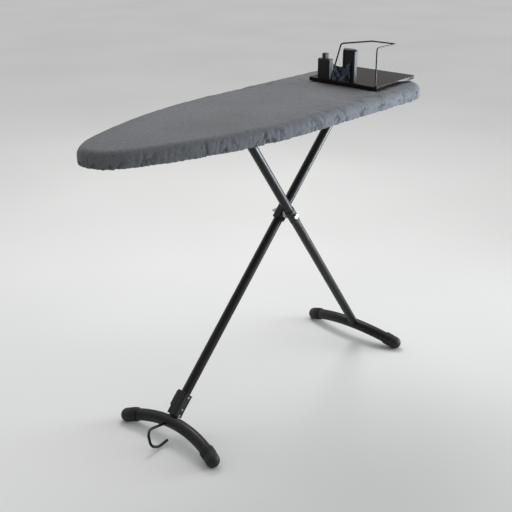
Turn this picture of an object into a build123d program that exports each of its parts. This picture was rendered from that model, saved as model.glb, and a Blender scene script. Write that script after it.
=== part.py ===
from build123d import *
from math import asin, cos, degrees, radians, sin, sqrt
import os

os.makedirs("parts", exist_ok=True)

# Free-standing ironing board on a scissor stand, in millimetres.
# X runs along the board: the nose is at -X and the heel, with the iron rest, at +X.
# Y runs across, Z is up, and the floor is Z = 0 under the middle of the board.

# ---- driving dimensions: the board --------------------------------------------------
length = 1200.0             # nose to heel over the cover
half_width = 199.0          # half the widest part of the board
board_top = 907.0           # top of the cover above the floor
board_side = 44.5           # height of the cover's side, top to hem
nose_r = 67.0               # the plan outline is three tangent arcs and a straight side
shoulder_r = 212.0
nose_turn = 46.0            # degrees turned by the nose arc
shoulder_turn = 21.0        # degrees turned by the shoulder arc
heel_r = 90.0               # heel corners
cover_t = 1.5
pad_t = 11.5
deck_t = 0.8
rim_d = 24.0                # steel tube round the edge of the deck
rim_wall = 1.2
rim_inset = 16.0            # rim tube's centre line, in from the cover's edge
hem_in = 30.0               # how far the hem turns in under the board

# ---- driving dimensions: the stand --------------------------------------------------
leg_d = 28.0
leg_wall = 1.2
leg_y = 19.0                # leg A runs at +19 and leg B at -19, side by side
leg_a_angle = 45.7          # from the floor, rising towards the heel
leg_b_angle = 54.2          # from the floor, rising towards the nose
pivot_x = 145.0             # the crossing pivot
pivot_z = 552.0
top_pivot_z = 836.0         # both top pivots
pin_r = 5.0
run_gap = 0.06              # radial running clearance on the pivots
foot_d = 36.0
foot_wall = 1.5
foot_half = 173.0           # from the middle of a foot to its tip's centre
foot_sag = 40.0             # rise of the foot's arch, along the leg
foot_tip_z = 20.0
cap_r = 20.5
cap_length = 38.0

# ---- driving dimensions: the iron rest ----------------------------------------------
tray_x0 = 367.0
tray_x1 = 599.0
tray_y0 = -145.0            # at half the tray's length
tray_y1 = 92.0
tray_flare = 7.5            # each side is this much wider at the nose end, and narrower at the heel end
tray_top = 921.0
tray_t = 1.5
tray_flange = 11.0

# ---- worked out ---------------------------------------------------------------------
hem_z = board_top - board_side
deck_top = board_top - cover_t - pad_t - 0.3
deck_bottom = deck_top - deck_t
nose_x = -length / 2
heel_x = length / 2
side_turn = 90.0 - nose_turn - shoulder_turn
nose_end_y = nose_r * cos(radians(90 - nose_turn))
shoulder_end_y = nose_end_y + shoulder_r * (cos(radians(side_turn)) - cos(radians(90 - nose_turn)))
side_r = (half_width - shoulder_end_y) / (1 - cos(radians(side_turn)))

up_a = Vector(cos(radians(leg_a_angle)), 0, sin(radians(leg_a_angle)))
up_b = Vector(-cos(radians(leg_b_angle)), 0, sin(radians(leg_b_angle)))
upper_a = (top_pivot_z - pivot_z) / up_a.Z
upper_b = (top_pivot_z - pivot_z) / up_b.Z
lower_a = (pivot_z - foot_tip_z - foot_sag * up_a.Z) / up_a.Z
lower_b = (pivot_z - foot_tip_z - foot_sag * up_b.Z) / up_b.Z
heel_pivot_x = pivot_x + upper_a * up_a.X
slider_x = pivot_x + upper_b * up_b.X
foot_a = Vector(pivot_x, 0, pivot_z) - up_a * lower_a
foot_b = Vector(pivot_x, 0, pivot_z) - up_b * lower_b
foot_r = (foot_half**2 + foot_sag**2) / (2 * foot_sag)
foot_angle = degrees(asin(foot_half / foot_r))
folded_slider_x = heel_pivot_x - upper_a - upper_b


def finish(builder, name):
    """Label a finished piece and write its STEP file."""
    builder.part.label = name
    export_step(builder.part, f"parts/{name}.step")


def board_outline(inset):
    """Closed plan outline of the board, a given distance inside the cover's edge."""
    with BuildLine(mode=Mode.PRIVATE) as outline:
        nose = JernArc((nose_x + inset, 0), (0, 1), nose_r - inset, -nose_turn)
        shoulder = JernArc(nose @ 1, nose % 1, shoulder_r - inset, -shoulder_turn)
        side = JernArc(shoulder @ 1, shoulder % 1, side_r - inset, -side_turn)
        straight = Line(side @ 1, (heel_x - heel_r, half_width - inset))
        corner = JernArc(straight @ 1, (1, 0), heel_r - inset, -90)
        Line(corner @ 1, (heel_x - inset, 0))
        mirror(about=Plane.XZ)
    return outline.line


def half_width_at(x):
    """Half the board's plan width at x, for placing what must stay inside it."""
    nose_centre = nose_x + nose_r
    shoulder_centre = nose_centre - (nose_r - shoulder_r) * sin(radians(90 - nose_turn))
    side_centre = shoulder_centre - (shoulder_r - side_r) * sin(radians(side_turn))
    nose_end = nose_centre - nose_r * sin(radians(90 - nose_turn))
    shoulder_end = shoulder_centre - shoulder_r * sin(radians(side_turn))
    if x < nose_end:
        return sqrt(max(nose_r**2 - (x - nose_centre) ** 2, 0))
    if x < shoulder_end:
        drop = shoulder_r * cos(radians(90 - nose_turn)) - nose_end_y
        return sqrt(shoulder_r**2 - (x - shoulder_centre) ** 2) - drop
    if x < side_centre:
        return sqrt(side_r**2 - (x - side_centre) ** 2) - side_r + half_width
    return half_width


# ==== the board: deck, rim, pad and cover ============================================

# Perforated sheet-steel deck, with a plain heel end where the iron rest is bolted.
hole_pitch = 44.0
hole_r = 19.0
plain_heel_x = 340.0
tray_bolt_inset = 32.0
tray_mid = ((tray_x0 + tray_x1) / 2, (tray_y0 + tray_y1) / 2)
tray_bolt_dx = tray_x1 - tray_x0 - 2 * tray_bolt_inset
tray_bolt_dy = tray_y1 - tray_y0 - 2 * tray_bolt_inset
tray_bolt_r = 2.5

hole_spots = []
for row in range(-5, 6):
    for column in range(0, 30):
        hole_x = nose_x + 60 + hole_pitch * column * sqrt(3) / 2
        hole_y = hole_pitch * (row + 0.5 * (column % 2))
        if hole_x < plain_heel_x and abs(hole_y) + hole_r < half_width_at(hole_x - hole_r) - 34:
            hole_spots.append((hole_x, hole_y))

with BuildPart() as deck_plate:
    with BuildSketch(Plane.XY.offset(deck_bottom)):
        add(board_outline(rim_inset - 6))
        make_face()
        with Locations(*hole_spots):
            RegularPolygon(hole_r, 6, mode=Mode.SUBTRACT)
        with Locations(tray_mid):
            with GridLocations(tray_bolt_dx, tray_bolt_dy, 2, 2):
                Circle(tray_bolt_r, mode=Mode.SUBTRACT)
    extrude(amount=deck_t)
finish(deck_plate, "deck_plate")

# Steel rim tube that the deck is welded to.
rim_z = deck_bottom - rim_d / 2
rim_path = board_outline(rim_inset).moved(Location((0, 0, rim_z)))
with BuildPart() as rim_tube:
    with BuildSketch(Plane(origin=(heel_x - rim_inset, 0, rim_z), z_dir=(0, 1, 0))):
        Circle(rim_d / 2)
        Circle(rim_d / 2 - rim_wall, mode=Mode.SUBTRACT)
    sweep(path=rim_path)
finish(rim_tube, "rim_tube")

# Felt pad over the deck, pierced where the iron rest's spacers pass.
spacer_r = 8.0
with BuildPart() as felt_pad:
    with BuildSketch(Plane.XY.offset(deck_top)):
        add(board_outline(cover_t + 0.3))
        make_face()
        with Locations(tray_mid):
            with GridLocations(tray_bolt_dx, tray_bolt_dy, 2, 2):
                Circle(spacer_r + 0.3, mode=Mode.SUBTRACT)
    extrude(amount=pad_t)
    pad_rim = felt_pad.edges().group_by(Axis.Z)[-1].filter_by(lambda e: e.length > 60)
    fillet(pad_rim, 9.5)
finish(felt_pad, "felt_pad")

# Fitted fabric cover: top, side and the hem that turns in under the rim.
with BuildPart() as cover_hollow:
    with BuildSketch(Plane.XY.offset(hem_z + cover_t)):
        add(board_outline(cover_t))
        make_face()
    extrude(amount=board_side - 2 * cover_t)
    fillet(cover_hollow.edges().group_by(Axis.Z)[-1], 9.5)

with BuildPart() as cover:
    with BuildSketch(Plane.XY.offset(hem_z)):
        add(board_outline(0))
        make_face()
    extrude(amount=board_side)
    fillet(cover.edges().group_by(Axis.Z)[-1], 11)
    add(cover_hollow.part, mode=Mode.SUBTRACT)
    with BuildSketch(Plane.XY.offset(hem_z)):
        add(board_outline(hem_in))
        make_face()
    extrude(amount=cover_t, mode=Mode.SUBTRACT)
    with BuildSketch(Plane.XY.offset(board_top - 2 * cover_t)):
        with Locations(tray_mid):
            with GridLocations(tray_bolt_dx, tray_bolt_dy, 2, 2):
                Circle(spacer_r + 0.3)
    extrude(amount=3 * cover_t, mode=Mode.SUBTRACT)
finish(cover, "cover")

# Drawstring lying in the hem, and its toggle under the nose.
string_d = 3.4
string_z = hem_z + cover_t + string_d / 2 + 0.1
string_inset = hem_in - 5
string_path = board_outline(string_inset).moved(Location((0, 0, string_z)))
with BuildPart() as drawstring:
    with BuildSketch(Plane(origin=(heel_x - string_inset, 0, string_z), z_dir=(0, 1, 0))):
        Circle(string_d / 2)
    sweep(path=string_path)
finish(drawstring, "drawstring")

toggle_spot = (nose_x + 51, -42)
toggle_length = 6.0
toggle_r = 5.0
with BuildPart() as drawstring_toggle:
    with BuildSketch(Plane.XY.offset(hem_z - toggle_length)):
        with Locations(toggle_spot):
            Circle(toggle_r)
    extrude(amount=toggle_length)
    fillet(drawstring_toggle.edges().group_by(Axis.Z)[0], toggle_r / 2)
finish(drawstring_toggle, "drawstring_toggle")

# ==== under the board: cross bars, guide rails, lock rod and heel bracket ============

bar = 20.0
bar_wall = 1.5
bar_z = deck_bottom - bar / 2
rail_x0 = folded_slider_x - 54
rail_x1 = slider_x + 54
rail_height = 20.0
rail_in = 42.0
rail_out = 58.0
rail_t = 1.8
rail_bottom = deck_bottom - bar - rail_height


def cross_bar(name, x):
    """Square tube from rim to rim under the deck."""
    reach = half_width_at(x - bar / 2) - rim_inset - rim_d / 2 - 1.7
    with BuildPart() as bar_part:
        with BuildSketch(Plane(origin=(x, -reach, bar_z), x_dir=(1, 0, 0), z_dir=(0, 1, 0))):
            RectangleRounded(bar, bar, 2.5)
            Rectangle(bar - 2 * bar_wall, bar - 2 * bar_wall, mode=Mode.SUBTRACT)
        extrude(amount=2 * reach)
    finish(bar_part, name)


cross_bar("nose_cross_bar", rail_x0 + bar / 2)
cross_bar("middle_cross_bar", rail_x1 - bar / 2)
cross_bar("heel_cross_bar", heel_pivot_x)


def guide_rail(name, side):
    """Channel rail that opens towards the middle, screwed under two cross bars."""
    with BuildPart() as rail:
        with BuildSketch(Plane.YZ.offset(rail_x0)):
            with Locations((side * (rail_in + rail_out) / 2, rail_bottom + rail_height / 2)):
                Rectangle(rail_out - rail_in, rail_height)
            with Locations((side * (rail_in + rail_out - rail_t) / 2 - side * rail_t / 2,
                            rail_bottom + rail_height / 2)):
                Rectangle(rail_out - rail_in, rail_height - 2 * rail_t, mode=Mode.SUBTRACT)
        extrude(amount=rail_x1 - rail_x0)
    finish(rail, name)


guide_rail("guide_rail_near", -1)
guide_rail("guide_rail_far", 1)

# One screw at each end of each rail, its head inside the channel.
with BuildPart() as rail_screws:
    with BuildSketch(Plane.XY.offset(rail_bottom + rail_height - rail_t - 1.4)):
        with Locations((0.5 * (rail_x0 + rail_x1), 0)):
            with GridLocations(rail_x1 - rail_x0 - bar, 2 * 49, 2, 2):
                Circle(4)
    extrude(amount=1.4)
finish(rail_screws, "rail_screws")

rod_r = 4.0
rod_y = -24.0
rod_z = deck_bottom - 15
with BuildPart() as lock_rod:
    with BuildSketch(Plane(origin=(rail_x0 + bar, rod_y, rod_z), z_dir=(1, 0, 0))):
        Circle(rod_r)
    extrude(amount=rail_x1 - rail_x0 - 2 * bar)
finish(lock_rod, "lock_rod")

# Bent steel bracket under the heel cross bar: two cheeks carry leg A's top pivot.
bracket_t = 3.0
bracket_gap = 15.5          # from leg A's centre line to the inside of each cheek
bracket_half = 20.0
bar_bottom = deck_bottom - bar
bracket_side = Plane(origin=(heel_pivot_x, leg_y, top_pivot_z), x_dir=(1, 0, 0), z_dir=(0, -1, 0))
with BuildPart() as heel_bracket:
    with BuildSketch(bracket_side):
        with BuildLine():
            Polyline((-bracket_half, bar_bottom - top_pivot_z), (-12, 0), (12, 0),
                     (bracket_half, bar_bottom - top_pivot_z), close=True)
        make_face()
        Circle(12)
    extrude(amount=bracket_gap + bracket_t, both=True)
    with BuildSketch(bracket_side):
        with Locations((0, -bracket_t)):
            Rectangle(3 * bracket_half, 2 * (bar_bottom - top_pivot_z))
    extrude(amount=bracket_gap, both=True, mode=Mode.SUBTRACT)
    with BuildSketch(bracket_side):
        Circle(pin_r)
    extrude(amount=2 * bracket_gap, both=True, mode=Mode.SUBTRACT)
finish(heel_bracket, "heel_bracket")

pin_head_r = 8.0
pin_head_t = 3.0
pin_half = bracket_gap + bracket_t
with BuildPart() as heel_pin:
    with BuildSketch(bracket_side):
        Circle(pin_r)
    extrude(amount=pin_half, both=True)
    with BuildSketch(bracket_side.offset(pin_half), bracket_side.offset(-pin_half - pin_head_t)):
        Circle(pin_head_r)
    extrude(amount=pin_head_t)
finish(heel_pin, "heel_pin")

# ==== the iron rest on the heel ======================================================

tray_corner_r = 4.0
tray_edge_r = 1.2


def tray_plan(inset):
    """The tray's tapered plan at the bottom of its flange, a given distance inside its edge."""
    with BuildSketch(Plane.XY.offset(tray_top - tray_flange)) as plan:
        with BuildLine():
            Polyline((tray_x0 + inset, tray_y0 - tray_flare + inset),
                     (tray_x1 - inset, tray_y0 + tray_flare + inset),
                     (tray_x1 - inset, tray_y1 - tray_flare - inset),
                     (tray_x0 + inset, tray_y1 + tray_flare - inset), close=True)
        make_face()
        fillet(plan.vertices(), tray_corner_r - inset)
    return plan.sketch


# Pressed steel tray with its edges turned down.
with BuildPart() as rest_tray:
    extrude(tray_plan(0), amount=tray_flange)
    fillet(rest_tray.edges().group_by(Axis.Z)[-1], tray_edge_r)
    extrude(tray_plan(tray_t), amount=tray_flange - tray_t, mode=Mode.SUBTRACT)
finish(rest_tray, "rest_tray")

# Spacers stand on the deck, pass through pad and cover and carry the tray.
spacer_top = tray_top - tray_t
with BuildPart() as tray_spacers:
    with BuildSketch(Plane.XY.offset(deck_top)):
        with Locations(tray_mid):
            with GridLocations(tray_bolt_dx, tray_bolt_dy, 2, 2):
                Circle(spacer_r)
                Circle(tray_bolt_r, mode=Mode.SUBTRACT)
    extrude(amount=spacer_top - deck_top)
finish(tray_spacers, "tray_spacers")

bolt_head_r = 5.0
bolt_head_t = 3.0
with BuildPart() as tray_bolts:
    with BuildSketch(Plane.XY.offset(deck_bottom)):
        with Locations(tray_mid):
            with GridLocations(tray_bolt_dx, tray_bolt_dy, 2, 2):
                Circle(tray_bolt_r)
    extrude(amount=spacer_top - deck_bottom)
    with BuildSketch(Plane.XY.offset(deck_bottom - bolt_head_t)):
        with Locations(tray_mid):
            with GridLocations(tray_bolt_dx, tray_bolt_dy, 2, 2):
                RegularPolygon(bolt_head_r, 6)
    extrude(amount=bolt_head_t)
finish(tray_bolts, "tray_bolts")

# Wire guard that rises from the tray's nose-side edge and loops back over the tray.
wire_d = 4.5
guard_z = tray_top + 110
guard_far_foot = (tray_x0 + 7, 20)
guard_near_foot = (tray_x0 + 7, tray_y0 + 2)
with BuildPart() as guard_wire:
    with BuildLine() as guard_path:
        FilletPolyline(
            (*guard_far_foot, tray_top),
            (tray_x0 + 16, -8, guard_z),
            (tray_x0 + 113, -54, guard_z),
            (tray_x0 + 115, -137, guard_z),
            (tray_x0 + 14, tray_y0 + 7, guard_z),
            (*guard_near_foot, tray_top),
            radius=9,
        )
    with BuildSketch(Plane(origin=guard_path.line @ 0, z_dir=guard_path.line % 0)):
        Circle(wire_d / 2)
    sweep()
    with BuildSketch(Plane.XY.offset(tray_top)):
        with Locations(guard_far_foot, guard_near_foot):
            Circle(wire_d)
    extrude(amount=1.5)
    split(bisect_by=Plane.XY.offset(tray_top), keep=Keep.TOP)
finish(guard_wire, "guard_wire")

# Cord clamp: a hollow block with a sprung push-button in its top.
clamp_x0 = tray_x0 + 4
clamp_depth = 20.0
clamp_y0 = 26.0
clamp_width = 44.0
clamp_height = 59.0
clamp_spot = (clamp_x0 + clamp_depth / 2, clamp_y0 + clamp_width / 2)
button_depth = 15.0
button_width = 13.0
button_rise = 17.0
button_travel = 4.0
button_gap = 0.35
well_depth = 30.0
with BuildPart() as cord_clamp:
    with BuildSketch(Plane.XY.offset(tray_top)):
        with Locations(clamp_spot):
            RectangleRounded(clamp_depth, clamp_width, 2.5)
    extrude(amount=clamp_height)
    fillet(cord_clamp.edges().group_by(Axis.Z)[-1], 1)
    with BuildSketch(Plane.XY.offset(tray_top + clamp_height - well_depth)):
        with Locations(clamp_spot):
            Rectangle(button_depth + 2 * button_gap, button_width + 2 * button_gap)
    extrude(amount=well_depth, mode=Mode.SUBTRACT)
finish(cord_clamp, "cord_clamp")

button_foot = 10.0
with BuildPart() as clamp_button:
    with BuildSketch(Plane.XY.offset(tray_top + clamp_height - button_foot)):
        with Locations(clamp_spot):
            Rectangle(button_depth, button_width)
    extrude(amount=button_foot + button_rise)
    fillet(clamp_button.edges().group_by(Axis.Z)[-1], 1.5)
finish(clamp_button, "clamp_button")

spring_wire = 1.0
spring_turns = 5
spring_z0 = tray_top + clamp_height - well_depth
spring_height = well_depth - button_foot
with BuildPart() as button_spring:
    for turn in range(spring_turns):
        ring_z = spring_z0 + spring_wire / 2 + turn * (spring_height - spring_wire) / (spring_turns - 1)
        with BuildSketch(Plane.XZ.offset(-clamp_spot[1])):
            with Locations((clamp_spot[0] + 4, ring_z)):
                Circle(spring_wire / 2)
        revolve(axis=Axis((*clamp_spot, 0), (0, 0, 1)), revolution_arc=360)
finish(button_spring, "button_spring")

# Heel stop: an upright oval post with an overhanging cap.
post_x0 = tray_x0 + 6
post_depth = 20.0
post_y0 = -64.0
post_width = 44.0
post_height = 92.0
post_spot = (post_x0 + post_depth / 2, post_y0 + post_width / 2)
with BuildPart() as heel_stop:
    with BuildSketch(Plane.XY.offset(tray_top)):
        with Locations(post_spot):
            RectangleRounded(post_depth, post_width, 5)
            Rectangle(post_depth - 5, post_width - 5, mode=Mode.SUBTRACT)
    extrude(amount=post_height)
    with BuildSketch(Plane.XY.offset(tray_top)):
        with Locations((post_x0, post_spot[1])):
            Rectangle(3, post_width - 14)
    extrude(amount=post_height, mode=Mode.SUBTRACT)
finish(heel_stop, "heel_stop")

with BuildPart() as heel_stop_cap:
    with BuildSketch(Plane.XY.offset(tray_top + post_height)):
        with Locations(post_spot):
            Ellipse(post_depth / 2 + 2, post_width / 2 + 2)
    extrude(amount=5)
    fillet(heel_stop_cap.edges().group_by(Axis.Z)[-1], 3)
finish(heel_stop_cap, "heel_stop_cap")

# Bowed steel saddle in front of the post, which cradles the iron's heel.
saddle_t = 2.0
saddle_y0 = -53.0
saddle_y1 = 11.0
saddle_end_x = tray_x0 + 3.6
saddle_bow = 2.6
saddle_height = 64.0
saddle_mid_y = (saddle_y0 + saddle_y1) / 2
tab_depth = 16.0
with BuildPart() as rest_saddle:
    with BuildSketch(Plane.XY.offset(tray_top)):
        with BuildLine():
            ThreePointArc((saddle_end_x, saddle_y1), (saddle_end_x - saddle_bow, saddle_mid_y),
                          (saddle_end_x, saddle_y0))
            Line((saddle_end_x, saddle_y0), (saddle_end_x + saddle_t, saddle_y0))
            ThreePointArc((saddle_end_x + saddle_t, saddle_y0),
                          (saddle_end_x + saddle_t - saddle_bow, saddle_mid_y),
                          (saddle_end_x + saddle_t, saddle_y1))
            Line((saddle_end_x + saddle_t, saddle_y1), (saddle_end_x, saddle_y1))
        make_face()
    extrude(amount=saddle_height)
    with BuildSketch(Plane.YZ.offset(tray_x0)):
        with BuildLine():
            dip = ThreePointArc((saddle_y1 + 1, tray_top + 49), (saddle_mid_y + 4, tray_top + 44),
                                (saddle_y0 - 1, tray_top + 61))
            Polyline(dip @ 1, (saddle_y0 - 1, tray_top + 2 * saddle_height),
                     (saddle_y1 + 1, tray_top + 2 * saddle_height), dip @ 0)
        make_face()
    extrude(amount=tab_depth, both=True, mode=Mode.SUBTRACT)
    with BuildSketch(Plane.XY.offset(tray_top)):
        with Locations((saddle_end_x + tab_depth / 2, (post_y0 + post_width + 2 + saddle_y1) / 2)):
            Rectangle(tab_depth, saddle_y1 - post_y0 - post_width - 2)
    extrude(amount=saddle_t)
finish(rest_saddle, "rest_saddle")

# ==== the stand: legs, feet and pivots ===============================================


def leg_plane(middle, up, along=0.0, side=0.0):
    """Plane across a leg, a distance up it from the middle of its foot."""
    return Plane(origin=middle + up * along + Vector(0, side, 0), x_dir=(0, 1, 0), z_dir=up)


def foot_plane(middle, up):
    """Plane of a foot's arch: local x runs across and local y up the leg."""
    return Plane(origin=middle, x_dir=(0, 1, 0), z_dir=Vector(up.Z, 0, -up.X))


def arch(middle, up, start, end):
    """Arc along a foot's centre line between two angles from its middle."""
    with BuildLine(foot_plane(middle, up), mode=Mode.PRIVATE) as centre_line:
        CenterArc((0, -foot_r), foot_r, 90 - start, start - end)
    return centre_line.line


def across(path):
    """Plane square to the start of a path."""
    return Plane(origin=path @ 0, z_dir=path % 0)


def foot(letter, middle, up):
    """Arched steel foot tube and its two rubber caps."""
    sleeve_angle = degrees(cap_length / foot_r)
    tube_end = foot_angle - degrees(8 / foot_r)
    tube_path = arch(middle, up, -tube_end, tube_end)
    with BuildPart() as foot_core:
        with BuildSketch(across(tube_path)):
            Circle(foot_d / 2)
        sweep(path=tube_path)
    with BuildPart() as foot_tube:
        with BuildSketch(across(tube_path)):
            Circle(foot_d / 2)
            Circle(foot_d / 2 - foot_wall, mode=Mode.SUBTRACT)
        sweep(path=tube_path)
    finish(foot_tube, f"foot_{letter}_tube")
    for name, side in (("near", -1), ("far", 1)):
        sleeve = arch(middle, up, side * (foot_angle - sleeve_angle), side * foot_angle)
        with BuildPart() as cap:
            with BuildSketch(across(sleeve)):
                Circle(cap_r)
            sweep(path=sleeve)
            with Locations(sleeve @ 1):
                Sphere(cap_r)
            for rib in range(4):
                rib_from = foot_angle - degrees((cap_length - 3 - 5 * rib) / foot_r)
                rib_to = rib_from + degrees(2.4 / foot_r)
                rib_path = arch(middle, up, side * rib_from, side * rib_to)
                with BuildSketch(across(rib_path)):
                    Circle(cap_r + 0.8)
                sweep(path=rib_path)
            add(foot_core.part, mode=Mode.SUBTRACT)
            split(bisect_by=Plane.XY, keep=Keep.TOP)
        finish(cap, f"foot_{letter}_cap_{name}")
    return foot_core


foot_a_core = foot("a", foot_a, up_a)
foot_b_core = foot("b", foot_b, up_b)

leg_tip = 10.0              # tube beyond its top pivot
bush_r = 7.0


def leg_tube(name, middle, up, side, lower, upper, pivot_hole, foot_core):
    """Round steel leg, coped onto its foot and drilled for its two pivots."""
    full = lower + upper + leg_tip
    crossing = Plane(origin=(pivot_x, side, pivot_z), z_dir=(0, 1, 0))
    top = middle + up * (lower + upper) + Vector(0, side, 0)
    with BuildPart() as tube:
        with BuildSketch(leg_plane(middle, up, 0, side)):
            Circle(leg_d / 2)
            Circle(leg_d / 2 - leg_wall, mode=Mode.SUBTRACT)
        extrude(amount=full)
        with BuildSketch(crossing):
            Circle(pivot_hole)
        extrude(amount=leg_d, both=True, mode=Mode.SUBTRACT)
        with BuildSketch(Plane(origin=top, z_dir=(0, 1, 0))):
            Circle(pin_r + run_gap)
        extrude(amount=leg_d, both=True, mode=Mode.SUBTRACT)
        add(foot_core.part, mode=Mode.SUBTRACT)
        lower_offcut = tube.solids().sort_by(lambda s: s.volume)[:-1]
        add(lower_offcut, mode=Mode.SUBTRACT)
    finish(tube, name)
    with BuildPart() as plug:
        with BuildSketch(leg_plane(middle, up, full - 4, side)):
            Circle(leg_d / 2 - leg_wall)
        extrude(amount=4)
    finish(plug, name.replace("tube", "end_plug"))


leg_tube("leg_a_tube", foot_a, up_a, leg_y, lower_a, upper_a, pin_r, foot_a_core)
leg_tube("leg_b_tube", foot_b, up_b, -leg_y, lower_b, upper_b, bush_r, foot_b_core)

# Plastic collars round the legs at the crossing, with the bolt, bush, spacer and nut.
collar_half = 15.6
collar_in = 5.5
collar_out = 34.6


def collar(name, up, side, hole, collar_length, corner_r):
    """Moulded collar that grips one leg at the crossing pivot."""
    middle_y = side * (collar_in + collar_out) / 2
    crossing = Vector(pivot_x, 0, pivot_z)
    with BuildPart() as moulding:
        with BuildSketch(leg_plane(crossing, up, -collar_length / 2, middle_y)):
            RectangleRounded(collar_out - collar_in, 2 * collar_half, corner_r)
        extrude(amount=collar_length)
        with BuildSketch(leg_plane(crossing, up, -collar_length, side * leg_y)):
            Circle(leg_d / 2)
        extrude(amount=2 * collar_length, mode=Mode.SUBTRACT)
        with BuildSketch(Plane(origin=crossing, z_dir=(0, 1, 0))):
            Circle(hole)
        extrude(amount=2 * collar_out, both=True, mode=Mode.SUBTRACT)
    finish(moulding, name)


collar("pivot_collar_a", up_a, 1, pin_r, 46.0, 5.0)
collar("pivot_collar_b", up_b, -1, bush_r, 50.0, 14.4)

crossing_plane = Plane(origin=(pivot_x, 0, pivot_z), x_dir=(1, 0, 0), z_dir=(0, 1, 0))
with BuildPart() as pivot_bush:
    with BuildSketch(crossing_plane.offset(-collar_out)):
        Circle(bush_r)
        Circle(pin_r + run_gap, mode=Mode.SUBTRACT)
    extrude(amount=collar_out - collar_in)
finish(pivot_bush, "pivot_bush")

with BuildPart() as pivot_spacer:
    with BuildSketch(crossing_plane.offset(leg_d / 2 - leg_y + 0.4)):
        Circle(13)
        Circle(pin_r, mode=Mode.SUBTRACT)
    extrude(amount=collar_in + leg_y - leg_d / 2 - 0.4)
    add(Solid.make_cylinder(leg_d / 2, 80, leg_plane(Vector(pivot_x, 0, pivot_z), up_a, -40, leg_y)),
        mode=Mode.SUBTRACT)
finish(pivot_spacer, "pivot_spacer")

bolt_end = 53.0
with BuildPart() as pivot_bolt:
    with BuildSketch(crossing_plane.offset(-collar_out - 0.4)):
        Circle(pin_r)
    extrude(amount=bolt_end + collar_out + 0.4)
    with BuildSketch(crossing_plane.offset(-collar_out - 5.4)):
        Circle(9)
    extrude(amount=5)
    fillet(pivot_bolt.edges().group_by(Axis.Y)[0], 2.5)
finish(pivot_bolt, "pivot_bolt")

with BuildPart() as pivot_nut:
    with BuildSketch(crossing_plane.offset(collar_out)):
        RegularPolygon(9.5, 6)
        Circle(pin_r, mode=Mode.SUBTRACT)
    extrude(amount=9)
finish(pivot_nut, "pivot_nut")

# ==== leg A's storage catch and hanging hook =========================================

catch_from = 19.5
catch_to = 90.0
catch_half = 17.0
with BuildPart() as catch_housing:
    with BuildSketch(leg_plane(foot_a, up_a, catch_from, leg_y)):
        RectangleRounded(2 * catch_half, 2 * catch_half, 5)
        Circle(leg_d / 2, mode=Mode.SUBTRACT)
    extrude(amount=catch_to - catch_from)
finish(catch_housing, "catch_housing")


def catch_face(along, side):
    """Plane on a flat side of the catch housing, facing across the board."""
    spot = foot_a + up_a * along + Vector(0, leg_y + side * catch_half, 0)
    return Plane(origin=spot, x_dir=up_a, z_dir=(0, side, 0))


screw_spots = (24.5, 43, 81)
with BuildPart() as catch_screws:
    for along in screw_spots:
        with BuildSketch(catch_face(along, -1)):
            Circle(3.2)
        extrude(amount=1.8)
finish(catch_screws, "catch_screws")

# The arm turns on a shouldered screw on the far side, and its lip hooks the board's hem.
arm_pivot = 48.0
arm_reach = 36.0
arm_half = 9.0
arm_t = 8.0
arm_off = 0.4
arm_plane = catch_face(arm_pivot, 1)
with BuildPart() as catch_arm:
    with BuildSketch(arm_plane.offset(arm_off)):
        with Locations((arm_reach / 2, 0)):
            SlotCenterToCenter(arm_reach, 2 * arm_half)
        Circle(pin_r + run_gap - 2, mode=Mode.SUBTRACT)
    extrude(amount=arm_t)
    with BuildSketch(arm_plane.offset(arm_off)):
        with Locations((arm_reach + 4, 12)):
            Rectangle(10, 16)
    extrude(amount=arm_t)
finish(catch_arm, "catch_arm")

with BuildPart() as catch_arm_screw:
    with BuildSketch(arm_plane):
        Circle(pin_r - 2)
    extrude(amount=arm_off + arm_t + 0.3)
    with BuildSketch(arm_plane.offset(arm_off + arm_t + 0.3)):
        Circle(6)
    extrude(amount=2.5)
finish(catch_arm_screw, "catch_arm_screw")

# Bent wire hook on foot A's nose side, for hanging the folded board on a wall rail.
# Its points are measured from the middle of the foot.
hook_d = 8.0
hook_points = ((-10, 31, -6), (-92, 16, 16), (-96, -1, -28), (-68, -2, -42), (-34, -2, -36))
hook_radii = (20, 20, 30)
with BuildPart() as hanging_hook:
    with BuildLine() as hook_path:
        FilletPolyline(*[foot_a + Vector(*point) for point in hook_points], radius=hook_radii)
    with BuildSketch(Plane(origin=hook_path.line @ 0, z_dir=hook_path.line % 0)):
        Circle(hook_d / 2)
    sweep()
    add(foot_a_core.part, mode=Mode.SUBTRACT)
finish(hanging_hook, "hanging_hook")

# ==== the carriage: leg B's top runs under the board =================================

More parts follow.
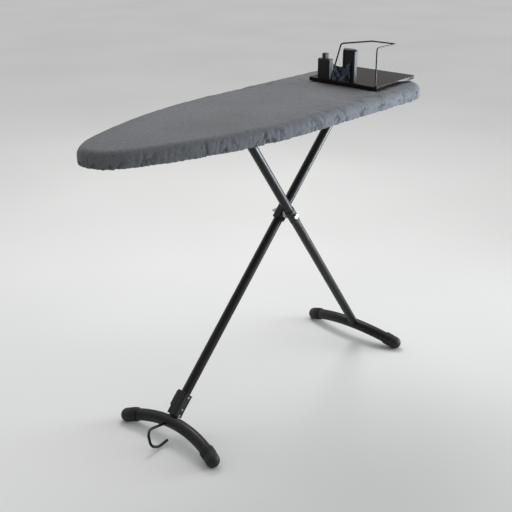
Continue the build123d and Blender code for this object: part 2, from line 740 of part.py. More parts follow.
carriage_half = 30.0
plate_z = rail_bottom + 3
plate_t = 6.0
plate_y = 38.0
cheek_t = 4.0
cheek_half = 16.0
cheek_bottom = top_pivot_z - 14
carriage_pin = Plane(origin=(slider_x, 0, top_pivot_z), x_dir=(1, 0, 0), z_dir=(0, 1, 0))
lever_x = slider_x + 24
lug_gap = 5.5
slot_width = 13.4
lever_pivot_y = -37.8
lever_pivot_z = 847.0
lever_pin_r = 1.5
lever_plane = Plane(origin=(lever_x, lever_pivot_y, lever_pivot_z), x_dir=(0, 1, 0), z_dir=(1, 0, 0))
with BuildPart() as carriage:
    with BuildSketch(Plane.XY.offset(plate_z)):
        with Locations((slider_x, 0)):
            Rectangle(2 * carriage_half, 2 * plate_y)
        with Locations((lever_x, -plate_y)):
            Rectangle(2 * lug_gap, slot_width, mode=Mode.SUBTRACT)
    extrude(amount=plate_t)
    with BuildSketch(Plane.XY.offset(cheek_bottom)):
        with Locations((slider_x, -plate_y + cheek_t / 2), (slider_x, -2.2)):
            Rectangle(2 * cheek_half, cheek_t)
    extrude(amount=plate_z - cheek_bottom)
    with BuildSketch(carriage_pin):
        Circle(pin_r)
    extrude(amount=60, both=True, mode=Mode.SUBTRACT)
    with BuildSketch(Plane.XY.offset(plate_z - 12)):
        with Locations((lever_x, lever_pivot_y)):
            with GridLocations(2 * lug_gap + 2.5, 1, 2, 1):
                Rectangle(2.5, 7)
    extrude(amount=12)
    with BuildSketch(lever_plane):
        Circle(lever_pin_r)
    extrude(amount=20, both=True, mode=Mode.SUBTRACT)
finish(carriage, "carriage")

with BuildPart() as slider_pin:
    with BuildSketch(carriage_pin.offset(-plate_y)):
        Circle(pin_r)
    extrude(amount=plate_y - 0.2)
    with BuildSketch(carriage_pin.offset(-plate_y - pin_head_t)):
        Circle(pin_head_r)
    extrude(amount=pin_head_t)
    with BuildSketch(carriage_pin.offset(-0.2)):
        Circle(pin_head_r)
    extrude(amount=1.5)
finish(slider_pin, "slider_pin")

# Nylon shoes in the rails, with room above them for the linkage's rise as it folds.
shoe_gap = 0.4
shoe_y = rail_out - rail_t - shoe_gap
with BuildPart() as carriage_shoes:
    with BuildSketch(Plane.XY.offset(rail_bottom + rail_t + shoe_gap)):
        with Locations((slider_x - 22, (plate_y + shoe_y) / 2), (slider_x + 22, (plate_y + shoe_y) / 2),
                       (slider_x - 22, -(plate_y + shoe_y) / 2), (slider_x + 8, -(plate_y + shoe_y) / 2)):
            Rectangle(14, shoe_y - plate_y)
    extrude(amount=8)
finish(carriage_shoes, "carriage_shoes")

# Tilting lock plate that grips the rod, on its upright pin.
lock_pin_y = -14.0
lock_pin_r = 1.5
lock_top = deck_bottom - 6.5
with BuildPart() as lock_plate:
    with BuildSketch(Plane.XY.offset(plate_z + plate_t + 0.3)):
        with Locations((lever_x, (lock_pin_y - 30.5) / 2)):
            Rectangle(2.5, 30.5 + lock_pin_y)
        with Locations((lever_x, lock_pin_y)):
            Circle(3.2)
            Circle(lock_pin_r + run_gap, mode=Mode.SUBTRACT)
    extrude(amount=lock_top - plate_z - plate_t - 0.3)
    with BuildSketch(Plane.YZ.offset(lever_x)):
        with Locations((rod_y, rod_z - 3)):
            RectangleRounded(2 * rod_r + 1.2, 2 * rod_r + 7, 4)
    extrude(amount=8, both=True, mode=Mode.SUBTRACT)
finish(lock_plate, "lock_plate")

with BuildPart() as lock_plate_pin:
    with BuildSketch(Plane.XY.offset(plate_z + plate_t)):
        with Locations((lever_x, lock_pin_y)):
            Circle(lock_pin_r)
    extrude(amount=lock_top - plate_z - plate_t)
finish(lock_plate_pin, "lock_plate_pin")

# Release lever: squeezed up towards the board, its tail pushes the lock plate.
lever_reach = 86.0
lever_half = 5.0
with BuildPart() as release_lever:
    with BuildSketch(lever_plane.offset(-lever_half)):
        Circle(3.6)
        with BuildLine():
            Polyline((1, -3), (-10, -9), (-lever_reach, -9), (-lever_reach, -5), (-11, -5),
                     (-3, 0), close=True)
        make_face()
        with Locations((1.6, 10)):
            Rectangle(2.6, 20)
        Circle(lever_pin_r + run_gap, mode=Mode.SUBTRACT)
    extrude(amount=2 * lever_half)
finish(release_lever, "release_lever")

with BuildPart() as lever_grip:
    with BuildSketch(lever_plane.offset(-lever_half - 5)):
        with Locations((-lever_reach + 20, -7)):
            RectangleRounded(46, 8, 3.5)
    extrude(amount=2 * lever_half + 10)
    with BuildSketch(lever_plane.offset(-lever_half)):
        with Locations((-lever_reach + 22, -7)):
            Rectangle(44, 4)
    extrude(amount=2 * lever_half, mode=Mode.SUBTRACT)
finish(lever_grip, "lever_grip")

with BuildPart() as lever_pin:
    with BuildSketch(lever_plane.offset(-lug_gap - 3.5)):
        Circle(lever_pin_r)
    extrude(amount=2 * lug_gap + 9)
finish(lever_pin, "lever_pin")

with BuildPart() as lever_spring:
    for turn in range(4):
        with BuildSketch(Plane.XY.offset(lever_pivot_z)):
            with Locations((lever_x + lug_gap + 3.2 + 1.1 * turn, lever_pivot_y + 2.4)):
                Circle(0.5)
        revolve(axis=Axis((lever_x, lever_pivot_y, lever_pivot_z), (1, 0, 0)), revolution_arc=360)
finish(lever_spring, "lever_spring")
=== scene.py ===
from math import cos, pi, radians, sin

import bmesh
import bpy
from mathutils import Matrix, Vector, noise


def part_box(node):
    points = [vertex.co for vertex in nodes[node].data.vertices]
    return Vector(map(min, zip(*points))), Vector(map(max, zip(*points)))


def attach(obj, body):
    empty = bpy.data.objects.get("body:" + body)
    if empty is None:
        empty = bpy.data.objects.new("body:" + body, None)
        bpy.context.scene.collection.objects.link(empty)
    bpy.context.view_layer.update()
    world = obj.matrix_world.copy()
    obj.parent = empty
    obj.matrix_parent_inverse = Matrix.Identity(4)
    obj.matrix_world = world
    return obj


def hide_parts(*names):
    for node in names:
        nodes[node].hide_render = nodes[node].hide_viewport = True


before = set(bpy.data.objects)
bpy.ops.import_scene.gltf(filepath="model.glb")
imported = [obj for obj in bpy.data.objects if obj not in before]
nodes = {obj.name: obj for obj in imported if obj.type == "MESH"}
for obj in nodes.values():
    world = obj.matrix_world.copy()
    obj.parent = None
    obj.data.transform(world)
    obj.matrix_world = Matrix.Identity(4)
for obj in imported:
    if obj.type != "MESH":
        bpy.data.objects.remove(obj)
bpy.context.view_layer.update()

# ==== studio: camera, floor and lights ================================================
# A plain pale seamless floor, one broad soft light overhead beyond the heel, a low one at the heel
# that lights the near side, and a pale room round them. The camera stands above the board's nose.
eye = Vector((-1.8249, -1.5988, 1.4619))
yaw = 0.85238               # radians, from +Y towards +X
pitch_down = 0.39207        # radians, below the horizon
camera_data = bpy.data.cameras.new("studio_camera")
camera_data.sensor_width = 36.0
camera_data.lens = 62.62
camera = bpy.data.objects.new("studio_camera", camera_data)
look = Vector((sin(yaw) * cos(pitch_down), cos(yaw) * cos(pitch_down), -sin(pitch_down)))
camera.location = eye
camera.rotation_euler = look.to_track_quat("-Z", "Y").to_euler()
bpy.context.scene.collection.objects.link(camera)
bpy.context.scene.camera = camera
bpy.context.scene.view_settings.view_transform = "Standard"


def linear(hex_colour):
    """An sRGB hex colour as the linear colour that a shader takes."""
    parts = [int(hex_colour[i:i + 2], 16) / 255 for i in (1, 3, 5)]
    return [p / 12.92 if p <= 0.04045 else ((p + 0.055) / 1.055) ** 2.4 for p in parts] + [1.0]


def add_node(tree, kind, settings=None, sockets=None):
    """Add one shader node, with its settings and its sockets' values or links."""
    made = tree.nodes.new("ShaderNode" + kind)
    for name, value in (settings or {}).items():
        setattr(made, name, value)
    for name, value in (sockets or {}).items():
        if isinstance(value, bpy.types.NodeSocket):
            tree.links.new(value, made.inputs[name])
        else:
            made.inputs[name].default_value = value
    return made


def new_finish(name, roughness, metallic=0.0, specular=0.5):
    """A material with its uniform gloss set on the shader."""
    finish = bpy.data.materials.new(name)
    finish.use_nodes = True
    shader = finish.node_tree.nodes["Principled BSDF"]
    shader.inputs["Roughness"].default_value = roughness
    shader.inputs["Metallic"].default_value = metallic
    shader.inputs["Specular IOR Level"].default_value = specular
    return finish


def shade_between(tree, value, low, high, start=0.3, end=0.7):
    """Turn a 0 to 1 pattern into a run between two hex colours or two numbers."""
    if isinstance(low, str):
        mixed = add_node(tree, "ValToRGB", None, {"Fac": value})
        for stop, position, colour in zip(mixed.color_ramp.elements, (start, end), (low, high)):
            stop.position = position
            stop.color = linear(colour)
        return mixed.outputs["Color"]
    ends = {"Value": value, "From Min": start, "From Max": end, "To Min": low, "To Max": high}
    return add_node(tree, "MapRange", None, ends).outputs["Result"]


def speckle(tree, place, size, detail=3.0, stretch=(1, 1, 1)):
    """A 0 to 1 pattern of grains about one real size across, in metres, on the piece or on a map."""
    if place is None:
        place = add_node(tree, "TexCoord").outputs["Object"]
    scaled = add_node(tree, "Mapping", None, {"Vector": place, "Scale": [s / size for s in stretch]})
    grains = {"Vector": scaled.outputs[0], "Scale": 1.0, "Detail": detail}
    return add_node(tree, "TexNoise", None, grains).outputs["Fac"]


def mottle(finish, socket, size, low, high, detail=3.0, start=0.3, end=0.7):
    """Vary a finish's colour or roughness over the piece, in patches of one real size."""
    tree = finish.node_tree
    tone = shade_between(tree, speckle(tree, None, size, detail), low, high, start, end)
    tree.links.new(tone, tree.nodes["Principled BSDF"].inputs[socket])


def make_piece(bm, name, finish, body=None):
    """A finished mesh as a smooth-shaded object at the origin, riding on a body."""
    mesh = bpy.data.meshes.new(name)
    bm.to_mesh(mesh)
    bm.free()
    mesh.materials.append(finish)
    for face in mesh.polygons:
        face.use_smooth = True
    piece = bpy.data.objects.new(name, mesh)
    bpy.context.scene.collection.objects.link(piece)
    if body:
        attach(piece, body)
    return piece


# The floor is matt painted board, with a faint unevenness in its tone.
floor_reach = 40
floor_paint = new_finish("matt_white_paint", 0.85, specular=0.2)
mottle(floor_paint, "Base Color", 0.9, "#e0e0de", "#e5e5e3", 1.0)
bm = bmesh.new()
bmesh.ops.create_grid(bm, x_segments=1, y_segments=1, size=floor_reach)
floor = make_piece(bm, "studio_floor", floor_paint)

# The room is darker beyond the nose than beyond the heel. A dark flag hangs beyond the far side,
# where the gloss tray would mirror the bright room.
room = bpy.data.worlds.new("studio_room")
room.use_nodes = True
bpy.context.scene.world = room
walls = room.node_tree
facing = add_node(walls, "TexCoord").outputs["Generated"]
dot = {"operation": "DOT_PRODUCT"}
towards_heel = add_node(walls, "VectorMath", dot, {0: facing, 1: (0.94, 0.34, 0.0)}).outputs["Value"]
towards_flag = add_node(walls, "VectorMath", dot, {0: facing, 1: (0.69, 0.61, 0.38)}).outputs["Value"]
glow = shade_between(walls, towards_heel, 0.20, 1.50, -0.9, 0.9)
flag = shade_between(walls, towards_flag, 1.0, 0.18, 0.78, 0.97)
lit = add_node(walls, "Math", {"operation": "MULTIPLY"}, {0: glow, 1: flag}).outputs[0]
walls.nodes["Background"].inputs["Color"].default_value = linear("#f4f5f6")
walls.links.new(lit, walls.nodes["Background"].inputs["Strength"])


def soft_light(name, place, aim, size, watts, tint, spread=180):
    """A square soft box that points at a spot; a narrow spread keeps it off the floor."""
    box = bpy.data.lights.new(name, "AREA")
    box.size = size
    box.spread = radians(spread)
    box.energy = watts
    box.color = linear(tint)[:3]
    lamp = bpy.data.objects.new(name, box)
    lamp.location = place
    lamp.rotation_euler = (Vector(aim) - Vector(place)).to_track_quat("-Z", "Y").to_euler()
    bpy.context.scene.collection.objects.link(lamp)


soft_light("overhead_box", (1.3, 1.2, 2.6), (0.4, 0.2, 0.3), 1.1, 29, "#ffffff")
soft_light("heel_box", (1.8, -1.3, 0.6), (0.45, -0.1, 0.9), 1.1, 16, "#e9f2ff", 70)

# ==== the deck and its underframe =====================================================
# Perforated steel sheet welded to a bent rim tube, both pale grey, on three black square cross
# bars. The two guide rails hang between the bars on screws and carry the sliding carriage.


def coat(finish, *names):
    """Give CAD nodes a finish."""
    for name in names:
        for surface in nodes[name].material_slots:
            surface.material = finish


def raise_relief(finish, height, depth):
    """Raise a pattern on a finish's surface by a real depth, in metres."""
    tree = finish.node_tree
    bump = add_node(tree, "Bump", None, {"Height": height, "Distance": depth})
    tree.links.new(bump.outputs["Normal"], tree.nodes["Principled BSDF"].inputs["Normal"])


def grain_skin(finish, size, depth, detail=2.0):
    """A grained surface: bumps of one real size and depth, in metres."""
    raise_relief(finish, speckle(finish.node_tree, None, size, detail), depth)


# Powder coat is fine orange peel under a satin skin. The grey one is cloudy, the black one scuffed.
grey_coat = new_finish("grey_powder_coat", 0.5)
mottle(grey_coat, "Base Color", 0.12, "#8a8c8e", "#9a9c9d", 4.0)
grain_skin(grey_coat, 0.0018, 0.00012)
coat(grey_coat, "deck_plate", "rim_tube")

powder = new_finish("black_powder_coat", 0.35, specular=0.3)
mottle(powder, "Base Color", 0.06, "#121211", "#1a1a18", 6.0)
mottle(powder, "Roughness", 0.06, 0.30, 0.42, 6.0)
grain_skin(powder, 0.0016, 0.00012)
coat(powder, "nose_cross_bar", "middle_cross_bar", "heel_cross_bar", "guide_rail_near", "guide_rail_far")

# Zinc plating is bright, with a faint yellow and blue bloom.
zinc = new_finish("zinc_plate", 0.32, metallic=1.0)
mottle(zinc, "Base Color", 0.007, "#aeb2b8", "#c9c7bd")
mottle(zinc, "Roughness", 0.007, 0.25, 0.42)
coat(zinc, "rail_screws")

# ==== legs and feet ===================================================================
# Two straight steel tubes, each welded to an arched foot tube, all powder coated black. Rubber caps
# are pushed on the feet, and leg A's moulded end turns on a zinc-plated pin in the heel bracket.
coat(powder, "leg_a_tube", "leg_b_tube", "foot_a_tube", "foot_b_tube", "heel_bracket")
coat(zinc, "heel_pin")

# Black rubber has a dull, slightly dusty skin.
rubber = new_finish("black_rubber", 0.55, specular=0.4)
mottle(rubber, "Base Color", 0.03, "#141413", "#20201e", 6.0)
mottle(rubber, "Roughness", 0.03, 0.45, 0.65, 6.0)
grain_skin(rubber, 0.0012, 0.0001, 3.0)
coat(rubber, "foot_a_cap_near", "foot_a_cap_far", "foot_b_cap_near", "foot_b_cap_far")

# Moulded ABS takes a fine spark-eroded grain from its mould, which breaks up its gloss.
abs_black = new_finish("black_abs", 0.5, specular=0.35)
mottle(abs_black, "Base Color", 0.05, "#151515", "#1d1d1d", 4.0)
mottle(abs_black, "Roughness", 0.0009, 0.45, 0.6, 2.0)
grain_skin(abs_black, 0.0009, 0.00015)
coat(abs_black, "leg_a_end_plug", "leg_b_end_plug")

# ==== the crossing pivot ==============================================================
# One bolt and nut join the legs where they cross, through a nylon bush and spacer. A moulded
# collar is clamped round each leg.
coat(abs_black, "pivot_collar_a", "pivot_collar_b")
coat(zinc, "pivot_bolt", "pivot_nut")

# Natural nylon is milky, smooth and a little waxy.
nylon = new_finish("natural_nylon", 0.42)
mottle(nylon, "Base Color", 0.01, "#cfccc2", "#dedbd1")
nylon.node_tree.nodes["Principled BSDF"].inputs["Subsurface Weight"].default_value = 0.15
coat(nylon, "pivot_bush", "pivot_spacer")

# ==== the carriage and the fold lock ==================================================
# A pressed steel carriage slides in the rails on four nylon shoes and is pinned to leg B. Its
# sprung lever tilts a plate that bites the lock rod. The lever ends in a moulded grip.
coat(powder, "carriage", "lock_plate", "release_lever")
coat(nylon, "carriage_shoes")
coat(zinc, "slider_pin", "lock_rod", "lock_plate_pin", "lever_pin")
coat(abs_black, "lever_grip")

# Spring wire is hard-drawn steel, oiled.
wire = new_finish("drawn_spring_wire", 0.25, metallic=1.0)
mottle(wire, "Base Color", 0.004, "#7d7f82", "#a3a5a7", 2.0)
coat(wire, "lever_spring")

# ==== the hanging hook and the storage catch ==========================================
# The hook is bent from black coated rod and welded to foot A. The catch is a two-part moulding
# screwed round leg A, with an arm that swings out on a screw of its own.
coat(powder, "hanging_hook")
coat(abs_black, "catch_housing", "catch_arm")
coat(zinc, "catch_screws", "catch_arm_screw")

# ==== the pad =========================================================================
# Needled felt about 11 mm thick, cut to the board's plan and laid loose on the deck under the
# cover. Its top edge is rounded over by the pull of the cover.
cover_low, cover_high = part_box("cover")
nose_x = cover_low.x
heel_x = cover_high.x
half_width = cover_high.y
cover_top = cover_high.z
hem_z = cover_low.z
nose_r = 0.067
shoulder_r = 0.212
heel_r = 0.090
nose_turn = radians(46)
shoulder_turn = radians(21)
side_turn = pi / 2 - nose_turn - shoulder_turn
nose_end_y = nose_r * sin(nose_turn)
shoulder_end_y = nose_end_y + shoulder_r * (cos(side_turn) - cos(pi / 2 - nose_turn))
side_r = (half_width - shoulder_end_y) / (1 - cos(side_turn))
spine_end_x = heel_x - 1.6 * heel_r


def clamp(value, low=0.0, high=1.0):
    """A value kept between two limits."""
    return min(max(value, low), high)


def arc_run(bm, tip, centre, turn, steps):
    """Grow the chain from its tip along an arc, and give its new tip."""
    turned = bmesh.ops.spin(bm, geom=[tip], cent=centre, axis=(0, 0, -1), angle=turn, steps=steps)
    return next(g for g in turned["geom_last"] if isinstance(g, bmesh.types.BMVert))


def straight_run(bm, tip, end, pitch):
    """Grow the chain from its tip to an end point in even steps, and give its new tip."""
    run = end - tip.co
    steps = round(run.length / pitch)
    for _ in range(steps):
        tip = bmesh.ops.extrude_vert_indiv(bm, verts=[tip])["verts"][0]
        tip.co += run / steps
    return tip


def board_edge(bm, pitch):
    """The board's plan outline as a closed chain: three tangent arcs, a straight side, a heel arc."""
    tip = bm.verts.new((nose_x, 0, 0))
    centre = Vector((nose_x + nose_r, 0, 0))
    reach = nose_r
    for radius, turn in ((nose_r, nose_turn), (shoulder_r, shoulder_turn), (side_r, side_turn)):
        centre = tip.co + (centre - tip.co) / reach * radius
        reach = radius
        tip = arc_run(bm, tip, centre, turn, max(4, round(radius * turn / pitch)))
    tip = straight_run(bm, tip, Vector((heel_x - heel_r, half_width, 0)), pitch)
    corner = Vector((heel_x - heel_r, half_width - heel_r, 0))
    tip = arc_run(bm, tip, corner, pi / 2, round(heel_r * pi / 2 / pitch))
    straight_run(bm, tip, Vector((heel_x, 0, 0)), pitch)
    everything = bm.verts[:] + bm.edges[:]
    bmesh.ops.mirror(bm, geom=everything, matrix=Matrix.Identity(4), axis="Y", merge_dist=1e-5)
    bmesh.ops.remove_doubles(bm, verts=bm.verts, dist=1e-5)


def remember_edge(bm):
    """Note each outline point and its outward direction on the point itself, for the rings to come."""
    edge, out, flat = [bm.verts.layers.float_vector.new(name) for name in ("edge", "out", "flat")]
    for v in bm.verts:
        a, b = (e.other_vert(v).co for e in v.link_edges)
        along = (b - a).normalized()
        side = Vector((along.y, -along.x, 0))
        away = v.co - Vector((clamp(v.co.x, nose_x + nose_r, heel_x - heel_r), 0, 0))
        v[edge] = v.co
        v[out] = side if side.dot(away) > 0 else -side
    return edge, out, flat


def place_ring(ring, marks, inset, z, beyond):
    """Move a ring to its inset and height; beyond is how far out it was on the flat cut."""
    edge, out, flat = marks
    for v in ring:
        v.co = v[edge] - v[out] * inset
        v.co.z = z
        v[flat] = v[edge] + v[out] * beyond


def next_ring(bm, edges):
    """Extrude a ring of edges and give the new ring's edges and points."""
    grown = bmesh.ops.extrude_edge_only(bm, edges=edges)["geom"]
    fresh = [g for g in grown if isinstance(g, bmesh.types.BMEdge)]
    points = [g for g in grown if isinstance(g, bmesh.types.BMVert)]
    return fresh, points


def board_skin(pitch, profile, spine_rows):
    """A shell on the board's outline: rings down the profile, and rows across the top to the spine."""
    bm = bmesh.new()
    board_edge(bm, pitch)
    marks = remember_edge(bm)
    edge, out, flat = marks
    outline = bm.edges[:]
    inset, z = profile[0]
    place_ring(bm.verts[:], marks, inset, z, -inset)
    edges = outline
    for row in range(1, spine_rows + 1):
        edges, points = next_ring(bm, edges)
        for v in points:
            rim = v[edge] - v[out] * inset
            spine = Vector((clamp(rim.x, nose_x + nose_r, spine_end_x), 0, 0))
            v.co = rim.lerp(spine, row / spine_rows)
            v.co.z = z
            v[flat] = Vector((v.co.x, v.co.y, 0))
    edges = outline
    beyond = -inset
    for (a_inset, a_z), (b_inset, b_z) in zip(profile, profile[1:]):
        beyond += Vector((b_inset - a_inset, b_z - a_z)).length
        edges, points = next_ring(bm, edges)
        place_ring(points, marks, b_inset, b_z, beyond)
    bmesh.ops.remove_doubles(bm, verts=bm.verts, dist=2e-5)
    bmesh.ops.dissolve_degenerate(bm, edges=bm.edges, dist=1e-6)
    bmesh.ops.recalc_face_normals(bm, faces=bm.faces)
    bm.normal_update()
    return bm, marks, beyond


# Needled felt is a mat of short pale hairs, with no gloss.
felt = new_finish("needled_felt", 0.95, specular=0.1)
mottle(felt, "Base Color", 0.0022, "#a7a297", "#c9c5b9", 5.0)
grain_skin(felt, 0.0022, 0.0008, 5.0)
pad_low, pad_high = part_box("felt_pad")
pad_gap = 0.0052            # from the cover's outline, with room for its puckers
pad_side = 0.019
pad_top = pad_high.z - 0.0022
pad_roll = pad_top - pad_low.z
pad_profile = [(pad_gap + pad_side * (1 - sin(a)), pad_top - pad_roll * (1 - cos(a))) for a in
               [radians(15 * k) for k in range(7)]]
pad_profile += [(pad_gap + 0.004, pad_low.z), (pad_gap + 0.018, pad_low.z)]
bm, _, _ = board_skin(0.012, pad_profile, 5)
bmesh.ops.edgeloop_fill(bm, edges=[e for e in bm.edges if e.is_boundary])
bmesh.ops.recalc_face_normals(bm, faces=bm.faces)
pad = make_piece(bm, "felt_layer", felt, "board")
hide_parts("felt_pad")

# ==== the cover =======================================================================
# Fitted cover in one piece of mid-grey melange cotton canvas. Its edge is turned under the rim
# and gathered on a drawstring in the hem, so it lies tight on the pad and puckers at the side.
column_pitch = 0.0033       # distance between the cover's columns of faces
roll_r = 0.021              # the soft roll from the top to the side
lower_r = 0.008
casing_r = 0.0036
string_low, string_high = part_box("drawstring")
string_inset = string_low.x - nose_x + 0.0017
string_z = (string_low.z + string_high.z) / 2
side_drop = cover_top - roll_r - hem_z - lower_r

# Yarns of two greys show as flecks along both thread directions, with slow fading between them.
# Real threads are 0.7 mm apart; the flecks are drawn 2 mm wide so that they show.
fleck = 0.002
canvas = new_finish("melange_cotton_canvas", 0.86, specular=0.25)
tree = canvas.node_tree
shader = tree.nodes["Principled BSDF"]
shader.inputs["Sheen Weight"].default_value = 0.10
shader.inputs["Sheen Roughness"].default_value = 0.45
cloth_map = add_node(tree, "UVMap", {"uv_map": "flat_cut"}).outputs["UV"]
warp = speckle(tree, cloth_map, fleck, 2.0, (1, 0.14, 1))
weft = speckle(tree, cloth_map, fleck, 2.0, (0.14, 1, 1))
both = add_node(tree, "Math", {"operation": "ADD"}, {0: warp, 1: weft}).outputs[0]
woven = add_node(tree, "Math", {"operation": "MULTIPLY"}, {0: both, 1: 0.5}).outputs[0]
raise_relief(canvas, woven, 0.0006)
yarn = shade_between(tree, woven, "#5b5d60", "#74777b", 0.36, 0.64)
fade = shade_between(tree, speckle(tree, cloth_map, 0.16), "#e9e8e6", "#ffffff")
# Painted shade darkens the cloth deep in each fold.
folds = add_node(tree, "Attribute", {"attribute_name": "fold_shade_depth"}).outputs["Fac"]
painted_fold_shade = shade_between(tree, folds, "#ffffff", "#7c7b7a", 0.12, 0.9)
# The slow fading is the cloth's own tone and the fold layer is painted shade; both multiply the yarn
# colour.
for layer in (fade, painted_fold_shade):
    fade_and_shade_blend = {"data_type": "RGBA", "blend_type": "MULTIPLY"}
    yarn = add_node(tree, "Mix", fade_and_shade_blend, {0: 1.0, 6: yarn, 7: layer}).outputs[2]
tree.links.new(yarn, shader.inputs["Base Color"])

rolled = [(roll_r * (1 - sin(a)), cover_top - roll_r * (1 - cos(a))) for a in
          [radians(9 * k) for k in range(11)]]
straight = [(0.0, cover_top - roll_r - side_drop * k / 6) for k in range(1, 6)]
under = [(lower_r * (1 - cos(a)), hem_z + lower_r * (1 - sin(a))) for a in
         [radians(18 * k) for k in range(6)]]
turned_in = [(lower_r + (string_inset - lower_r) * k / 6, hem_z) for k in range(1, 6)]
casing = [(string_inset + casing_r * sin(a), string_z - casing_r * cos(a)) for a in
          [radians(36 * k) for k in range(8)]]
profile = rolled + straight + under + turned_in + casing
bm, marks, cloth_beyond = board_skin(column_pitch, profile, 16)
edge_mark, out_mark, flat_mark = marks
plan_area = sum(f.calc_area() for f in bm.faces if f.normal.z > 0.99)

# Puckers run up the side from the gathered hem in clusters, and soft creases lie slantwise across
# the top, most of them near the heel. Each is a real fold in the mesh.
cluster_pitch = 0.052
cluster_shift = Vector((3, 1, 7))
pucker_pitch = 0.0115
pucker_depth = 0.0032
pucker_width = 0.26         # as a share of the waves that the puckers lie between
bulge_pitch = 0.034
bulge_depth = 0.0016
hem_pitch = 0.0075
hem_depth = 0.0012
top_slant = (0.88, 0.47)    # cosine and sine of the top creases' slant
swell_depth = 0.0022
valley_depth = 0.0015
sag_depth = 0.0007
# How much painted shade each fold gets, kept on the points for the canvas shader.
fold_shade_mark = bm.verts.layers.float.new("fold_shade_depth")


def waves(x, y, pitch_x, pitch_y, level):
    """Smooth uneven waves, from -1 to 1, with these pitches."""
    return noise.noise(Vector((x / pitch_x, y / pitch_y, level)))


for v in bm.verts:
    on_edge = Vector((v[edge_mark].x, v[edge_mark].y, 0))
    drop = clamp((cover_top - v.co.z) / (cover_top - hem_z))
    cluster = clamp(noise.noise(on_edge / cluster_pitch + cluster_shift) * 1.9 + 0.7, 0.15)
    fine = waves(on_edge.x, on_edge.y, pucker_pitch, pucker_pitch, drop * 1.3 + 2)
    broad = waves(on_edge.x, on_edge.y, bulge_pitch, bulge_pitch, drop * 0.8 + 9)
    uneven = 0.55 + 0.45 * waves(on_edge.x, on_edge.y, 0.02, 0.02, drop * 3)
    pucker = max(0.0, 1 - abs(fine) / pucker_width) * cluster * min(1.0, drop * 2.4) * uneven
    gather = bulge_depth * broad * drop - pucker_depth * pucker + 0.0006 * fine * drop
    if v.normal.z < -0.3:
        gather += hem_depth * waves(on_edge.x, on_edge.y, hem_pitch, hem_pitch, 5)
    on_top = 1 - min(drop / 0.2, 1)
    inward = (on_edge - Vector((v.co.x, v.co.y, 0))).length
    near_edge = 1 - clamp((inward - 0.03) / 0.13)
    across = v.co.x * top_slant[0] - v.co.y * top_slant[1]
    along = v.co.x * top_slant[1] + v.co.y * top_slant[0]
    swell = max(waves(across, along, 0.060, 0.024, 4), -0.2)
    valley = max(0.0, 1 - abs(waves(across, along, 0.075, 0.030, 8)) / 0.14)
    sag = waves(v.co.x, v.co.y, 0.17, 0.12, 1)
    slack = clamp((v.co.x + 0.45) / 0.6, 0.3) * near_edge
    crumple = on_top * (slack * (swell_depth * swell - valley_depth * valley) + sag_depth * sag)
    # Painted shade, strongest in the puckers and in the top creases.
    v[fold_shade_mark] = min(1.0, pucker * 1.4 + 0.45 * on_top * slack * valley)
    v.co += v.normal * (gather + crumple)

uv = bm.loops.layers.uv.new("flat_cut")
for face in bm.faces:
    for corner in face.loops:
        corner[uv].uv = corner.vert[flat_mark].xy

# The drawstring gathers more cloth into the side than it needs, so the side buckles: a cloth
# simulation grows it a little between the board's top and the hem, which both stay held.
grip_start = 0.012          # how far in from the outline the cloth begins to grip the pad's top
grip_run = 0.020
most_move = 0.0034          # the pad behind the cloth and the box round it allow this much
grips = []
spares = []
for v in bm.verts:
    inward = (v[edge_mark] - Vector((v.co.x, v.co.y, 0))).dot(v[out_mark])
    on_top = v.co.z > cover_top - 0.006
    below = v.co.z < hem_z + 0.004 and inward > 0.010
    grips.append(clamp((inward - grip_start) / grip_run) if on_top else float(below))
    spares.append(0.0 if on_top or below else 1.0)
cover = make_piece(bm, "cover_canvas", canvas, "board")
for name, weights in (("held_cloth", grips), ("spare_cloth", spares)):
    group = cover.vertex_groups.new(name=name)
    for index, weight in enumerate(weights):
        group.add([index], weight, "REPLACE")
cloth = cover.modifiers.new("gathers", "CLOTH")
cloth.settings.quality = 6
cloth.settings.mass = 0.25
cloth.settings.tension_stiffness = 20
cloth.settings.compression_stiffness = 20
cloth.settings.shear_stiffness = 6
cloth.settings.bending_stiffness = 0.12
cloth.settings.vertex_group_mass = "held_cloth"
cloth.settings.vertex_group_shrink = "spare_cloth"
cloth.settings.shrink_min = 0.0
cloth.settings.shrink_max = -0.07
cloth.settings.effector_weights.gravity = 0
for step in range(1, 21):
    bpy.context.scene.frame_set(step)
hung = cover.evaluated_get(bpy.context.evaluated_depsgraph_get()).data
buckled = [v.co.copy() for v in hung.vertices]
cover.modifiers.remove(cloth)
bpy.context.scene.frame_set(1)
for v, new in zip(cover.data.vertices, buckled):
    move = new - v.co
    v.co += move * min(1.0, most_move / max(move.length, 1e-9))

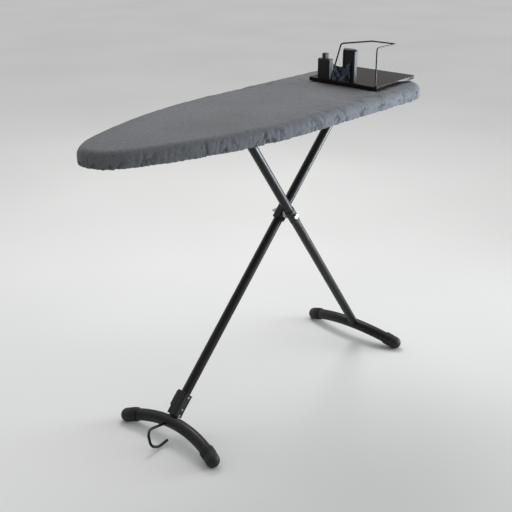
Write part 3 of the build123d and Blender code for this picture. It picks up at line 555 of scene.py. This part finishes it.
wall = cover.modifiers.new("cloth_thickness", "SOLIDIFY")
wall.thickness = 0.0012
wall.offset = -1
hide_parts("cover")

# The drawstring is a braided cotton and polyester cord in charcoal, tied off in a moulded toggle.
braid = new_finish("braided_cord", 0.85, specular=0.2)
tree = braid.node_tree
strands = speckle(tree, None, 0.0015, 1.0, (1, 1, 0.5))
raise_relief(braid, strands, 0.0004)
twist = shade_between(tree, strands, "#2c2d2f", "#4a4b4e")
tree.links.new(twist, tree.nodes["Principled BSDF"].inputs["Base Color"])
coat(braid, "drawstring")
coat(abs_black, "drawstring_toggle")

# ==== the iron rest ===================================================================
# Pressed sheet tray bolted down through spacers. On it stand a wire guard, a moulded cord clamp
# with a sprung button, a heel stop with a cap, and a blued steel saddle between the two.
coat(zinc, "tray_bolts", "tray_spacers")
coat(abs_black, "cord_clamp", "heel_stop", "heel_stop_cap")
coat(wire, "button_spring")

# Stove enamel flows out to a gloss, with brown warmth in its black.
enamel = new_finish("gloss_stove_enamel", 0.16, specular=0.12)
mottle(enamel, "Base Color", 0.08, "#1e1613", "#2a1f1a", 4.0)
mottle(enamel, "Roughness", 0.02, 0.09, 0.17, 5.0)
grain_skin(enamel, 0.03, 0.00006, 1.0)
coat(enamel, "rest_tray")

# The guard is spring-hard wire, black chromed.
chrome = new_finish("black_chrome", 0.2, metallic=1.0)
mottle(chrome, "Base Color", 0.01, "#2a2a2b", "#3a3a3c")
coat(chrome, "guard_wire")

# The button is a lighter grey moulding than the clamp.
abs_grey = new_finish("grey_abs", 0.6, specular=0.3)
mottle(abs_grey, "Base Color", 0.02, "#2e2f30", "#3c3d3e", 4.0)
grain_skin(abs_grey, 0.0009, 0.0001)
coat(abs_grey, "clamp_button")

# Blued and polished spring steel has darker heat blooms.
blued = new_finish("blued_steel", 0.22, metallic=1.0)
mottle(blued, "Base Color", 0.012, "#2a2e3a", "#7c8396", 3.0, 0.42, 0.66)
mottle(blued, "Roughness", 0.012, 0.34, 0.16)
coat(blued, "rest_saddle")
